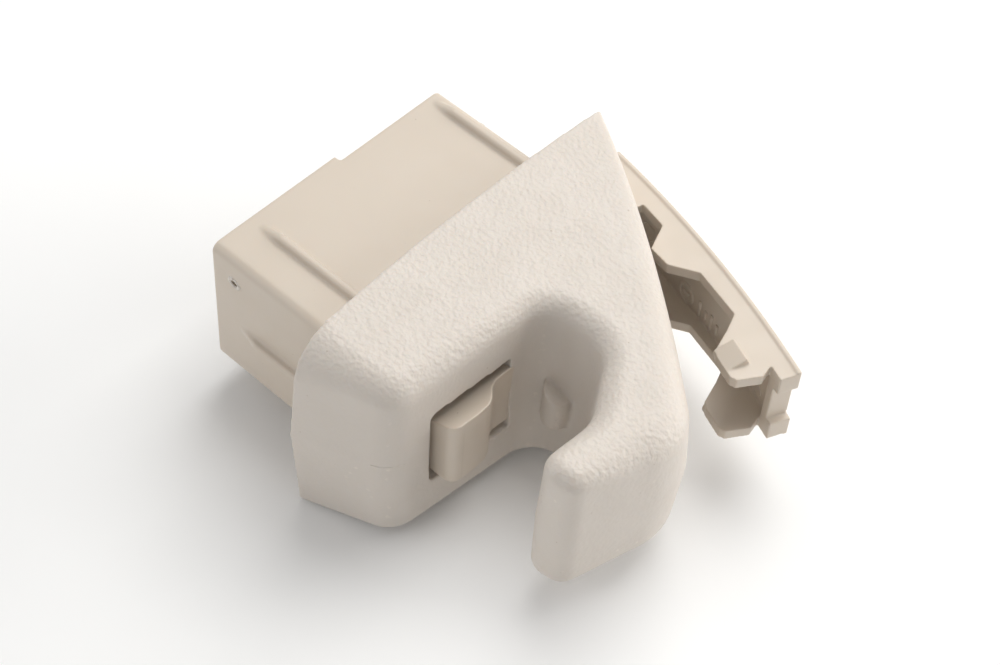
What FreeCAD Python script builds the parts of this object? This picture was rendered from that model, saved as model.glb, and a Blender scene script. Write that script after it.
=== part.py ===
import FreeCAD, Part
import math
import os

V = FreeCAD.Vector

# Panel-mounted snap-in rod hook, millimetres.
# +X runs along the mounting flange towards its pointed corner, +Y is the way the stem
# goes into the panel, +Z is the outward normal of the grained front face.
# The origin is the middle of the mounting face, on the axis of the stem.

# ---- head: the visible hook ----
FLANGE_THICKNESS_Z = 23.0     # head thickness at the mounting face
TAPER_DEG = 7.0               # each large face leans in, away from the mounting face
FLANGE_CROWN_R = 256.0        # the mounting face is slightly bowed
FLANGE_CROWN_X = 4.0          # where the bow is highest
BACK_R = 127.0                # slanted back, a long arc
BACK_CENTRE = V(-91.0, 57.8, 0)
BACK_TOP_DEG = -27.2          # where the arc meets the mounting face
BACK_LOW_DEG = -41.6          # where the arc ends, near the lip
BACK_DRAFT = 0.5              # the back stands out this much at mid height
LIP_DROP = 5.3                # straight run from the arc to the lowest corner
LIP_BULGE = 0.5               # the lip stands out this much more at mid height
LEFT_X = -21.95               # left wall at the mounting face, mid height
LEFT_BULGE = 1.3              # the left wall stands out this much at mid height
NOSE = (-17.0, -10.75, 3.4)   # corners: x, y, radius at mid height
SEAT_TOP = (0.9, -11.9, 3.3)
SEAT_LOW = (1.2, -18.1, 3.6)
LIP_RUN = (-4.6, -22.2, 4.0)
TIP_TOP = (-12.1, -22.2, 1.9)
TIP_LOW = (-11.9, -26.7, 2.2)
LIP_LOW_R = 7.0
LEVEL_Z = FLANGE_THICKNESS_Z / 2 + 0.5     # height of the upper and lower outlines
CAVITY = (                    # plan of the hollow behind the throat: x, y, radius
    (-16.4, -1.75, 0.6),
    (-14.4, -9.0, 0.6),
    (-1.6, -9.8, 1.0),
    (3.3, -12.2, 2.5),
    (3.3, -16.8, 1.5),
    (-0.7, -21.3, 0.8),
    (3.6, -26.0, 0.8),
    (18.0, -8.0, 0.0),
    (18.9, -1.75, 0.6),
)
COVER_HALF_Z = 4.5            # the cover's flanges stand this far either side of mid height
CHEEK_CLEAR = 0.25            # between the cover's flanges and the head's cheeks
CAVITY_HALF_Z = COVER_HALF_Z + CHEEK_CLEAR
CUT_PAST = 4.0                # cutters run this far out of the solid that they cut
POCKET_RIGHT_X = -1.9         # taller pocket behind the spring tongue
POCKET_Z_LOW = -6.6
POCKET_Z_HIGH = 5.4

# radii of the front and rear edges at each corner of the outline
FRONT_RADII = (5.0, 2.9, 2.2, 2.2, 2.2, 1.6, 1.8, 3.4, 1.2, 0.9)
REAR_RADII = (0.7, 0.7, 0.7, 0.7, 1.0, 1.5, 1.8, 2.4, 1.2, 0.7)

# ---- spring tongue in the throat's upper wall ----
TONGUE_Z_LOW = -4.9
TONGUE_Z_HIGH = 3.7           # at the crest
TONGUE_SLOPE_DROP = 0.75      # the upper side falls by this much from the crest to the wall's surface
TONGUE_SLOT = 0.65            # gap between tongue and window
TONGUE_FREE_X = -11.85
TONGUE_ROOT_X = -2.7
TONGUE_THICK = 1.5
TONGUE_RISE = 2.2             # how far the crest stands into the throat
TONGUE_CREST_FROM = 1.3       # along the tongue from its free end
TONGUE_CREST_TO = 3.9
TONGUE_RAMP_END = 7.6
TONGUE_CREST_CROWN = 0.12     # the crest is slightly domed
TONGUE_CREST_DROP = 0.1       # and lower towards the root
TONGUE_TOE_BACK = 1.1         # the free end's lead-in starts this far behind the crest
TONGUE_TOE_BEND = (0.35, 0.3) # and passes this point on its way to the crest
TONGUE_EDGE_R = 0.45
TONGUE_SOFT_FROM = 0.2        # edges this far proud of the wall are rounded
TONGUE_EASE = 0.45            # softness of the ramp, as a share of its length
WINDOW_R = 0.7

# ---- stop lug in the seat ----
LUG_X = 0.6
LUG_Y = -14.8
LUG_R = 1.45
LUG_ROOT = 1.0                # the lug reaches this far back into the wall
LUG_Z_LOW = -4.65
LUG_TOP_Z = -0.5              # height of the slanted top on the lug's axis
LUG_TOP_DEG = 25.0            # the top falls away towards the lip

# ---- stem box ----
STEM_WIDTH = 29.2
STEM_HEIGHT = 16.0
STEM_LENGTH = 14.2
STEM_STEP = 0.75              # the left half of the stem is this much longer
STEM_STEP_X = 1.1
STEM_WALL = 1.6
STEM_EDGE_R = 0.9
STEM_INNER_SHARE = 0.5        # the inner corners are tighter by this share of the wall
STEM_ROOT_Y = -3.0            # the stem is drawn from here and trimmed to the mounting face
STEM_OPEN_Y = 24.0            # cutters for the stem's open end reach to here
PIT_R = 0.4                   # pit in the left wall, where the runner broke off
PIT_FROM_END = 2.1
PIT_FROM_TOP = 3.15
PIT_DEPTH_SHARE = 0.6         # of the wall
RIB_HEIGHT = 0.75
RIB_WIDTH = 1.0
RIB_LEAD = 2.6
RIB_SUNK = 0.3                # the ribs reach this far into the wall
RIB_SIDE_MARGIN = 1.5         # middle of the right top rib to the stem's side
TOP_RIB_XS = (-9.8, STEM_WIDTH / 2 - RIB_SIDE_MARGIN)
RIB_EDGE_SHARE = 0.4          # edge radius, as a share of the rib's width
SIDE_RIB_Z = -1.2
TOP_RIB_END_Y = 13.4
SIDE_RIB_END_Y = 11.6

# ---- snap latch on the stem ----
LATCH_ROOT_Y = 3.4
LATCH_TIP_Y = 12.3
LATCH_HALF_Z = 5.6
LATCH_SLOT = 0.6
LATCH_CATCH_Y = 9.0
LATCH_PEAK_Y = 9.8
LATCH_RISE = 1.4
LATCH_BACK_SLOPE = 0.15       # the catch leans this much, so that it can be pulled out
LATCH_TIP_IN = 0.2            # the tip lies this far inside the stem's wall

# ---- screw, washer and sleeve ----
SCREW_X = 8.0
SCREW_R = 1.95                # over the thread
THREAD_DEPTH = 0.25
SHANK_R = SCREW_R - THREAD_DEPTH            # plain part, inside the washer and sleeve
SCREW_CLEAR = 0.25
THREAD_PAST = 0.3             # the thread starts this far past the sleeve
SCREW_TIP_Y = 13.2
SCREW_POINT = 1.5
HEAD_R = 3.3
HEAD_H = 2.4
HEAD_DOME_R = 1.1
POINT_R = 0.4
WASHER_R = 3.9
WASHER_T = 0.8
WASHER_FIT = 0.05             # between the thread and the washer's hole
SLEEVE_R = 3.3
SLEEVE_LENGTH = 7.5
BOSS_WALL = 1.0
BOSS_LENGTH = 3.6
BOSS_FIT = 0.05
RECESS_R = 1.5
RECESS_DEPTH = 1.3
RECESS_ARM = 0.35             # half width of the cross's arms
BOSS_RIB_HALF = 0.6           # rib that ties the boss to the stem's walls
BOSS_RIB_Y = 6.0

# ---- screw cover ----
HINGE = V(23.3, 5.45, 0)      # centre of the curved guides
OPEN_DEG = 18.0               # how far the cover stands open at rest
COVER_DATUM_DEG = -28.5       # polar angle of the cover's datum on the closed back
COVER_WEB = 1.3
COVER_FLANGE = 1.2
COVER_TOP_U = -1.6            # ends, along the arc from the datum
COVER_END_U = 29.5
COVER_GAP = 0.35              # clearance round the cover in the head
ARM_REACH_U = 9.0             # the arms stay within these bounds of the back
ARM_REACH_V = 12.0
ARM_SUNK = 0.2
BARB_LEAN = 0.3               # the barb's catching side leans this much
LONG_RUN = 3.0                # longer runs along the back are drawn as arcs
BARB_GAP_U = 0.6              # clearance round the barbs, along the back
BARB_GAP_Z = 0.25             # and across it
FLANGE_EDGE = (               # inner edge of each flange: arc position, depth
    (-1.6, 2.3),
    (8.4, 2.3),
    (9.6, 4.0),
    (10.3, 4.9),
    (12.8, 4.7),
    (15.2, 2.5),
    (20.9, 2.3),
    (22.3, 3.9),
    (23.9, 6.0),
    (24.7, 6.3),
    (27.4, 6.3),
    (28.0, 5.9),
    (28.5, 3.5),
    (27.7, 2.3),
)
END_LUG_FROM_U = 27.7
END_LUG_DEPTH = 2.2
END_LUG_Z = 2.2               # height of each end lug
END_STRIP_U = 28.7            # the strip between the lugs stops short of them
RIM_WIDTH = 0.45
RIM_HEIGHT = 0.15
BARB_FROM_U = 23.9
BARB_TO_U = 26.7
BARB_CREST_V = 3.9
BARB_FOOT_V = 6.2
BARB_RISE = 0.75
GUIDE_R = 12.4                # arms and pegs follow this radius round the hinge
ARM_HALF = 1.3
ARM_END_DEG = -118.8
ARM_ROOT_DEG = -97.0
PEG_DEG = -116.6
PEG_R = 0.75
PEG_RISE = 0.65
PEG_CLEAR = 0.12


def polar(centre, radius, degrees, z=0.0):
    angle = math.radians(degrees)
    return V(centre.x + radius * math.cos(angle), centre.y + radius * math.sin(angle), z)


def rounded_wire(corners):
    """Closed wire in the XY plane; corners are (x, y, radius)."""
    points = [V(x, y, 0) for x, y, _ in corners]
    count = len(points)
    starts = []
    ends = []
    mids = []
    for i, (_, _, radius) in enumerate(corners):
        here = points[i]
        back = (points[i - 1] - here).normalize()
        ahead = (points[(i + 1) % count] - here).normalize()
        half = back.getAngle(ahead) / 2
        reach = radius / math.tan(half)
        bisector = (back + ahead).normalize()
        centre = here + bisector * (radius / math.sin(half))
        starts.append(here + back * reach)
        ends.append(here + ahead * reach)
        mids.append(centre - bisector * radius)
    edges = []
    for i, (_, _, radius) in enumerate(corners):
        if radius > 0:
            edges.append(Part.Arc(starts[i], mids[i], ends[i]).toShape())
        edges.append(Part.LineSegment(ends[i], starts[(i + 1) % count]).toShape())
    return Part.Wire(edges)


def slab(wire, z_low, z_high):
    face = Part.Face(wire)
    face.translate(V(0, 0, z_low))
    return face.extrude(V(0, 0, z_high - z_low))


def block(low, high):
    size = high - low
    return Part.makeBox(size.x, size.y, size.z, low)


def save(shape, node):
    shape = shape.removeSplitter()
    if not shape.isValid():
        raise ValueError(node + " is not valid")
    shape.exportStep("parts/" + node + ".step")
    print(node, len(shape.Solids), round(shape.Volume, 1))
    return shape


# ------------------------------------------------------------------ head

def half_thickness(y):
    return FLANGE_THICKNESS_Z / 2 + y * math.tan(math.radians(TAPER_DEG))


def back_point(degrees, radius):
    return polar(BACK_CENTRE, radius, degrees)


def head_corners(level):
    """Outline corners at mid height (level 0), or 12 mm above (1) or below (-1)."""
    upper = level > 0
    lower = level < 0
    radius = BACK_R - (BACK_DRAFT if level else 0.0)
    half_turn = math.radians(BACK_TOP_DEG - BACK_LOW_DEG) / 2
    middle = (BACK_TOP_DEG + BACK_LOW_DEG) / 2
    shoulder = back_point(middle, radius / math.cos(half_turn))
    top = back_point(BACK_TOP_DEG, radius)
    low = back_point(BACK_LOW_DEG, radius)
    above = top + (top - shoulder).normalize() * 4.0
    lowest = low + (low - shoulder).normalize() * LIP_DROP
    if level == 0:
        lowest += polar(V(0, 0, 0), LIP_BULGE, BACK_LOW_DEG)

    def moved(corner, up, down):
        dx, dy = up if upper else down if lower else (0.0, 0.0)
        return (corner[0] + dx, corner[1] + dy, corner[2])

    bulge = LEFT_BULGE if level else 0.0
    return [
        (LEFT_X + bulge, 3.0, 0.0),
        moved(NOSE, (0.4, 0.1), (0.4, 0.0)),
        moved(SEAT_TOP, (0.6, 0.3), (-1.5, -0.8)),
        moved(SEAT_LOW, (1.0, -0.7), (-1.1, -0.2)),
        moved(LIP_RUN, (0.4, -0.4), (-0.4, 0.2)),
        moved(TIP_TOP, (0.3, -0.4), (0.3, 0.3)),
        moved(TIP_LOW, (0.3, 0.2), (0.6, 0.5)),
        (lowest.x, lowest.y, LIP_LOW_R),
        (shoulder.x, shoulder.y, radius),
        (above.x, above.y, 0.0),
    ]


def flange_disc(drop=0.0):
    disc = Part.makeCylinder(FLANGE_CROWN_R, 2 * FLANGE_THICKNESS_Z)
    disc.translate(V(FLANGE_CROWN_X, -FLANGE_CROWN_R - drop, -FLANGE_THICKNESS_Z))
    return disc


def taper_prism():
    far = -40.0
    near = 4.0
    profile = Part.makePolygon([
        V(-60, near, half_thickness(near)),
        V(-60, far, half_thickness(far)),
        V(-60, far, -half_thickness(far)),
        V(-60, near, -half_thickness(near)),
        V(-60, near, half_thickness(near)),
    ])
    return Part.Face(profile).extrude(V(120, 0, 0))


def outline_at(level):
    wire = rounded_wire(head_corners(level))
    wire.translate(V(0, 0, level * LEVEL_Z))
    return wire


def skin(wires):
    """Solid with straight-ruled sides through matching wires, listed from the bottom up."""
    faces = [Part.Face(wires[0]), Part.Face(wires[-1])]
    for lower, upper in zip(wires, wires[1:]):
        for first, second in zip(lower.OrderedEdges, upper.OrderedEdges):
            faces.append(Part.makeRuledSurface(first, second))
    shell = Part.makeShell(faces)
    shell.sewShape()
    solid = Part.makeSolid(shell)
    if solid.Volume < 0:
        solid.reverse()
    return solid


def head_blank():
    blank = skin([outline_at(-1), outline_at(0), outline_at(1)])
    return blank.common(flange_disc()).common(taper_prism())


def radius_at(point, corners, radii):
    nearest = min(range(len(corners)), key=lambda i: (corners[i] - point).Length)
    return radii[nearest]


def rounded_head():
    """Head blank with front and rear edges rounded; the mounting edge stays crisp."""
    blank = head_blank().Solids[0]
    picked = []
    for side, radii in ((1, FRONT_RADII), (-1, REAR_RADII)):
        corners = [V(x, y, side * half_thickness(y)) for x, y, _ in head_corners(side)]
        for number, edge in enumerate(blank.Edges, 1):
            ends = [edge.valueAt(edge.FirstParameter), edge.valueAt(edge.LastParameter)]
            middle = edge.valueAt((edge.FirstParameter + edge.LastParameter) / 2)
            off = [abs(p.z - side * half_thickness(p.y)) for p in ends + [middle]]
            if max(off) > 0.02 or abs(middle.y) < 0.3:
                continue
            picked.append((number, radius_at(ends[0], corners, radii), radius_at(ends[1], corners, radii)))
    return fillet(blank, picked)


def fillet(shape, picked):
    """Rounds edges with a radius at each end; picked holds (number, radius, radius)."""
    document = FreeCAD.newDocument("fillet")
    base = document.addObject("Part::Feature", "base")
    base.Shape = shape
    rounded = document.addObject("Part::Fillet", "rounded")
    rounded.Base = base
    rounded.Edges = picked
    document.recompute()
    result = rounded.Shape.copy()
    FreeCAD.closeDocument("fillet")
    return result


def cavity():
    low = V(CAVITY[0][0], CAVITY[1][1], POCKET_Z_LOW)
    high = V(POCKET_RIGHT_X, CAVITY[0][1], POCKET_Z_HIGH)
    pocket = slab(rounded_wire(CAVITY), POCKET_Z_LOW, POCKET_Z_HIGH).common(block(low, high))
    return slab(rounded_wire(CAVITY), -CAVITY_HALF_Z, CAVITY_HALF_Z).fuse(pocket)


def cover_opening():
    """Room for the closed cover: its outline grown by the gap, and notches for its barbs."""
    top = COVER_TOP_U - COVER_GAP
    end = COVER_END_U + COVER_GAP
    half = COVER_HALF_Z + RIM_HEIGHT + CHEEK_CLEAR
    opening = slab(arc_band(top, end, -CUT_PAST, COVER_WEB + COVER_GAP), -half, half)
    outline = [(top, FLANGE_EDGE[0][1] + COVER_GAP)]
    outline += [(u, depth + COVER_GAP) for u, depth in FLANGE_EDGE[1:]]
    outline += [(end, END_LUG_DEPTH + COVER_GAP), (end, 0.0), (top, 0.0)]
    room = slab(along_back(outline), -CAVITY_HALF_Z, CAVITY_HALF_Z)
    notch_half = COVER_HALF_Z + BARB_RISE + BARB_GAP_Z
    notch_plan = arc_band(
        BARB_FROM_U - BARB_GAP_U, BARB_TO_U + BARB_GAP_U, -CUT_PAST, BARB_FOOT_V + BARB_GAP_U)
    return opening.fuse(room).fuse(slab(notch_plan, -notch_half, notch_half))


def guide_grooves():
    """Curved grooves in both cheeks, in which the cover's pegs run."""
    height = CAVITY_HALF_Z + PEG_RISE
    reach = PEG_R + PEG_CLEAR
    groove = slab(polar_band(
        GUIDE_R - reach, GUIDE_R + reach, PEG_DEG - OPEN_DEG, PEG_DEG), -height, height)
    for degrees in (PEG_DEG - OPEN_DEG, PEG_DEG):
        end = Part.makeCylinder(reach, 2 * height)
        end.translate(polar(HINGE, GUIDE_R, degrees, -height))
        groove = groove.fuse(end)
    return groove


def tongue_window():
    low = V(TONGUE_FREE_X - TONGUE_SLOT, CAVITY[2][1] - CUT_PAST, TONGUE_Z_LOW - TONGUE_SLOT)
    high = V(TONGUE_ROOT_X, CAVITY[1][1] + CUT_PAST / 2, TONGUE_Z_HIGH + TONGUE_SLOT)
    window = block(low, high)
    corners = [edge for edge in window.Edges if abs(edge.tangentAt(0).y) > 0.9 and
               edge.Vertexes[0].X < TONGUE_ROOT_X - 1]
    return window.makeFillet(WINDOW_R, corners)


def seat_lug():
    side = 4 * LUG_R
    lug = Part.makeCylinder(LUG_R, side, V(LUG_X, LUG_Y, LUG_Z_LOW))
    above = Part.makeBox(side, side, side, V(LUG_X - side / 2, LUG_Y - side / 2, LUG_TOP_Z))
    above.rotate(V(LUG_X, LUG_Y, LUG_TOP_Z), V(1, 0, 0), LUG_TOP_DEG)
    base = block(
        V(LUG_X, LUG_Y - LUG_R, LUG_Z_LOW),
        V(LUG_X + LUG_ROOT, LUG_Y + LUG_R, LUG_Z_LOW + side))
    return lug.fuse(base).cut(above)


def screw_axis_hole(radius, from_y, to_y):
    return Part.makeCylinder(radius, to_y - from_y, V(SCREW_X, from_y, 0), V(0, 1, 0))


def make_hook_body():
    head = rounded_head().fuse(seat_lug())
    head = head.cut(cavity()).cut(cover_opening()).cut(guide_grooves()).cut(tongue_window())
    return head.cut(screw_axis_hole(SCREW_R + SCREW_CLEAR, -CUT_PAST, CUT_PAST))


# ---------------------------------------------------------------- tongue

def wall_slope():
    return (SEAT_TOP[1] - NOSE[1]) / (SEAT_TOP[0] - NOSE[0])


def wall_point(x, inward=0.0):
    """Point on the throat's upper wall at mid height, or that far inside the wall."""
    return V(x, NOSE[1] + wall_slope() * (x - NOSE[0]) + inward, 0)


def make_spring_tongue():
    """Flat strip with a domed crest near its free end."""
    free = TONGUE_FREE_X
    level = wall_point(free, -TONGUE_RISE)
    back_free = wall_point(free, TONGUE_THICK)
    back_root = wall_point(TONGUE_ROOT_X, TONGUE_THICK)
    front_root = wall_point(TONGUE_ROOT_X)
    foot = wall_point(free + TONGUE_RAMP_END)
    toe = level + V(0, TONGUE_TOE_BACK, 0)
    toe_bend = level + V(*TONGUE_TOE_BEND, 0)
    crest_start = level + V(TONGUE_CREST_FROM, 0, 0)
    crest_middle = level + V((TONGUE_CREST_FROM + TONGUE_CREST_TO) / 2, -TONGUE_CREST_CROWN, 0)
    crest_end = level + V(TONGUE_CREST_TO, -TONGUE_CREST_DROP, 0)
    outline = Part.Wire([
        Part.LineSegment(back_root, back_free).toShape(),
        Part.LineSegment(back_free, toe).toShape(),
        Part.Arc(toe, toe_bend, crest_start).toShape(),
        Part.Arc(crest_start, crest_middle, crest_end).toShape(),
        smooth_ramp(crest_end, foot),
        Part.LineSegment(foot, front_root).toShape(),
        Part.LineSegment(front_root, back_root).toShape(),
    ])
    tongue = slab(outline, TONGUE_Z_LOW, TONGUE_Z_HIGH).cut(above_tongue())
    proud = wall_point(free).y - TONGUE_SOFT_FROM
    soft = []
    for edge in tongue.Edges:
        lies_flat = abs(edge.tangentAt(edge.FirstParameter).z) < 0.1
        near_crest = edge.BoundBox.XMax < crest_end.x + TONGUE_SOFT_FROM
        underneath = edge.BoundBox.ZMax < 0
        if lies_flat and near_crest and underneath and edge.BoundBox.YMax < proud:
            soft.append(edge)
    return tongue.makeFillet(TONGUE_EDGE_R, soft)


def above_tongue():
    """What lies above the tongue's sloping upper side."""
    slope = TONGUE_SLOPE_DROP / TONGUE_RISE
    start = wall_point(TONGUE_FREE_X, -TONGUE_RISE) - V(CUT_PAST, CUT_PAST, 0)
    end_y = wall_point(TONGUE_ROOT_X, TONGUE_THICK + CUT_PAST).y
    fall = slope * (end_y - start.y)
    top = TONGUE_Z_HIGH + slope * CUT_PAST
    side = Part.makePolygon([
        V(start.x, start.y, top),
        V(start.x, end_y, top - fall),
        V(start.x, end_y, top + CUT_PAST),
        V(start.x, start.y, top + CUT_PAST),
        V(start.x, start.y, top),
    ])
    return Part.Face(side).extrude(V(TONGUE_ROOT_X - start.x + CUT_PAST, 0, 0))


def smooth_ramp(start, end):
    """S-shaped run from the crest down to the flat root."""
    lead = TONGUE_EASE * (end.x - start.x)
    curve = Part.BezierCurve()
    curve.setPoles([start, start + V(lead, 0, 0), end - V(lead, wall_slope() * lead, 0), end])
    return curve.toShape()


# ------------------------------------------------------------------ stem

def stem_blank(inset, from_y, to_y):
    half_x = STEM_WIDTH / 2 - inset
    half_z = STEM_HEIGHT / 2 - inset
    body = block(V(-half_x, from_y, -half_z), V(half_x, to_y, half_z))
    radius = STEM_EDGE_R - inset * STEM_INNER_SHARE
    along = [edge for edge in body.Edges if abs(edge.tangentAt(0).y) > 0.9]
    return body.makeFillet(radius, along)


def crush_rib(length):
    """Straight rib with a long lead-in, lying along +Y on the plane z = 0."""
    side = Part.makePolygon([
        V(0, STEM_ROOT_Y, -RIB_SUNK), V(0, length, -RIB_SUNK), V(0, length, 0.0),
        V(0, length - RIB_LEAD, RIB_HEIGHT), V(0, STEM_ROOT_Y, RIB_HEIGHT), V(0, STEM_ROOT_Y, -RIB_SUNK)])
    rib = Part.Face(side).extrude(V(RIB_WIDTH, 0, 0))
    rib.translate(V(-RIB_WIDTH / 2, 0, 0))
    tops = [edge for edge in rib.Edges
            if abs(edge.tangentAt(0).y) > 0.5 and edge.BoundBox.ZMax > RIB_HEIGHT - 0.05]
    return rib.makeFillet(RIB_WIDTH * RIB_EDGE_SHARE, tops)


def stem_ribs():
    ribs = []
    for x in TOP_RIB_XS:
        for side in (1, -1):
            rib = crush_rib(TOP_RIB_END_Y)
            if side < 0:
                rib.rotate(V(0, 0, 0), V(0, 1, 0), 180)
            rib.translate(V(x, 0, side * STEM_HEIGHT / 2))
            ribs.append(rib)
    rib = crush_rib(SIDE_RIB_END_Y)
    rib.rotate(V(0, 0, 0), V(0, 1, 0), -90)
    rib.translate(V(-STEM_WIDTH / 2, 0, SIDE_RIB_Z))
    ribs.append(rib)
    return ribs


def latch_window():
    return block(
        V(STEM_WIDTH / 2 - 1.5 * STEM_WALL, LATCH_ROOT_Y, -LATCH_HALF_Z - LATCH_SLOT),
        V(STEM_WIDTH / 2 + STEM_WALL, LATCH_TIP_Y + LATCH_SLOT, LATCH_HALF_Z + LATCH_SLOT))


def make_stem_box():
    past = STEM_WIDTH
    bore_r = SLEEVE_R + BOSS_FIT
    stem = stem_blank(0.0, STEM_ROOT_Y, STEM_LENGTH + STEM_STEP)
    stem = stem.cut(block(V(STEM_STEP_X, STEM_LENGTH, -past), V(past, STEM_OPEN_Y, past)))
    for rib in stem_ribs():
        stem = stem.fuse(rib)
    hollow = stem_blank(STEM_WALL, STEM_WALL, STEM_OPEN_Y)
    stem = stem.cut(hollow).cut(latch_window())
    inner_z = STEM_HEIGHT / 2 - STEM_WALL / 2
    stem = stem.fuse(screw_axis_hole(bore_r + BOSS_WALL, STEM_ROOT_Y, STEM_WALL + BOSS_LENGTH))
    stem = stem.fuse(block(
        V(SCREW_X - BOSS_RIB_HALF, STEM_WALL / 2, -inner_z),
        V(SCREW_X + BOSS_RIB_HALF, BOSS_RIB_Y, inner_z)))
    stem = stem.cut(Part.makeCylinder(
        PIT_R, STEM_WALL * PIT_DEPTH_SHARE,
        V(-STEM_WIDTH / 2, STEM_LENGTH - PIT_FROM_END, STEM_HEIGHT / 2 - PIT_FROM_TOP), V(1, 0, 0)))
    stem = stem.cut(screw_axis_hole(bore_r, STEM_WALL, STEM_OPEN_Y))
    stem = stem.cut(screw_axis_hole(SCREW_R + SCREW_CLEAR, STEM_ROOT_Y, STEM_OPEN_Y))
    return stem.cut(flange_disc())


def make_stem_latch():
    """Springy finger in the +X wall, with a ramped catch for the panel's edge."""
    outer = STEM_WIDTH / 2
    inner = outer - STEM_WALL
    crest = outer + LATCH_RISE
    profile = Part.makePolygon([
        V(inner, LATCH_ROOT_Y, 0),
        V(outer, LATCH_ROOT_Y, 0),
        V(outer, LATCH_CATCH_Y, 0),
        V(crest, LATCH_CATCH_Y + LATCH_BACK_SLOPE, 0),
        V(crest, LATCH_PEAK_Y, 0),
        V(outer - LATCH_TIP_IN, LATCH_TIP_Y, 0),
        V(inner, LATCH_TIP_Y, 0),
        V(inner, LATCH_ROOT_Y, 0),
    ])
    return slab(Part.Wire(profile), -LATCH_HALF_Z, LATCH_HALF_Z)


# ------------------------------------------------------- screw and sleeve

def make_screw():
    seat_y = CAVITY[0][1] - WASHER_T
    head = screw_axis_hole(HEAD_R, seat_y - HEAD_H, seat_y)
    rim = [edge for edge in head.Edges if edge.BoundBox.YMax < seat_y - HEAD_H / 2]
    head = head.makeFillet(HEAD_DOME_R, rim)
    shank = screw_axis_hole(SHANK_R, seat_y, SCREW_TIP_Y - SCREW_POINT)
    thread_y = STEM_WALL + SLEEVE_LENGTH + THREAD_PAST
    thread = screw_axis_hole(SCREW_R, thread_y, SCREW_TIP_Y - SCREW_POINT)
    point = Part.makeCone(SCREW_R, POINT_R, SCREW_POINT, V(SCREW_X, SCREW_TIP_Y - SCREW_POINT, 0), V(0, 1, 0))
    recess = cross_recess(seat_y - HEAD_H)
    return head.fuse(shank).fuse(thread).fuse(point).cut(recess)


def cross_recess(face_y):
    """Cross-shaped hole for the screwdriver."""
    arms = []
    for along_x, along_z in ((RECESS_R, RECESS_ARM), (RECESS_ARM, RECESS_R)):
        arms.append(block(
            V(SCREW_X - along_x, face_y - RECESS_DEPTH, -along_z),
            V(SCREW_X + along_x, face_y + RECESS_DEPTH, along_z)))
    return arms[0].fuse(arms[1])


def make_washer():
    seat_y = CAVITY[0][1]
    ring = screw_axis_hole(WASHER_R, seat_y - WASHER_T, seat_y)
    return ring.cut(screw_axis_hole(SCREW_R + WASHER_FIT, seat_y - CUT_PAST, seat_y + CUT_PAST))


def make_sleeve():
    end_y = STEM_WALL + SLEEVE_LENGTH
    tube = screw_axis_hole(SLEEVE_R, STEM_WALL, end_y)
    return tube.cut(screw_axis_hole(SCREW_R + SCREW_CLEAR, STEM_ROOT_Y, end_y + CUT_PAST))


# ----------------------------------------------------------------- cover

def on_back(u, depth):
    """Point at arc position u along the closed cover, and depth below its outer face."""
    return polar(BACK_CENTRE, BACK_R - depth, COVER_DATUM_DEG - math.degrees(u / BACK_R))


def along_back(points):
    """Closed wire through (u, depth) points; long runs at one depth are arcs."""
    edges = []
    for (u_from, d_from), (u_to, d_to) in zip(points, points[1:] + points[:1]):
        start = on_back(u_from, d_from)
        end = on_back(u_to, d_to)
        if d_from == d_to and abs(u_from - u_to) > LONG_RUN:
            edges.append(Part.Arc(start, on_back((u_from + u_to) / 2, d_from), end).toShape())
        else:
            edges.append(Part.LineSegment(start, end).toShape())
    return Part.Wire(edges)


def arc_band(u_from, u_to, depth_from, depth_to):
    return along_back([(u_from, depth_from), (u_to, depth_from), (u_to, depth_to), (u_from, depth_to)])


def polar_band(r_from, r_to, from_deg, to_deg):
    middle = (from_deg + to_deg) / 2
    a = polar(HINGE, r_from, from_deg)
    b = polar(HINGE, r_from, to_deg)
    c = polar(HINGE, r_to, to_deg)
    d = polar(HINGE, r_to, from_deg)
    return Part.Wire([
        Part.Arc(a, polar(HINGE, r_from, middle), b).toShape(),
        Part.LineSegment(b, c).toShape(),
        Part.Arc(c, polar(HINGE, r_to, middle), d).toShape(),
        Part.LineSegment(d, a).toShape(),
    ])


def swing(shape, degrees):
    turned = shape.copy()
    turned.rotate(HINGE, V(0, 0, 1), degrees)
    return turned


def cover_flange():
    """Upper flange of the closed cover, with arm, peg, end lug and barb."""
    low = COVER_HALF_Z - COVER_FLANGE
    outline = [(COVER_TOP_U, 0.0)] + list(FLANGE_EDGE) + [(END_LUG_FROM_U, 0.0)]
    flange = slab(along_back(outline), low, COVER_HALF_Z)
    arm_plan = polar_band(GUIDE_R - ARM_HALF, GUIDE_R + ARM_HALF, ARM_END_DEG, ARM_ROOT_DEG)
    arm = swing(slab(arm_plan, low, COVER_HALF_Z), -OPEN_DEG)
    arm = arm.common(slab(arc_band(COVER_TOP_U, ARM_REACH_U, ARM_SUNK, ARM_REACH_V), low, COVER_HALF_Z))
    peg = Part.makeCylinder(PEG_R, PEG_RISE + COVER_FLANGE / 2)
    peg.translate(polar(HINGE, GUIDE_R, PEG_DEG - OPEN_DEG, COVER_HALF_Z - COVER_FLANGE / 2))
    lug_plan = arc_band(END_LUG_FROM_U, COVER_END_U, 0.0, END_LUG_DEPTH)
    lug = slab(lug_plan, COVER_HALF_Z - END_LUG_Z, COVER_HALF_Z)
    return flange.fuse(arm).fuse(peg).fuse(lug).fuse(cover_barb())


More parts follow.
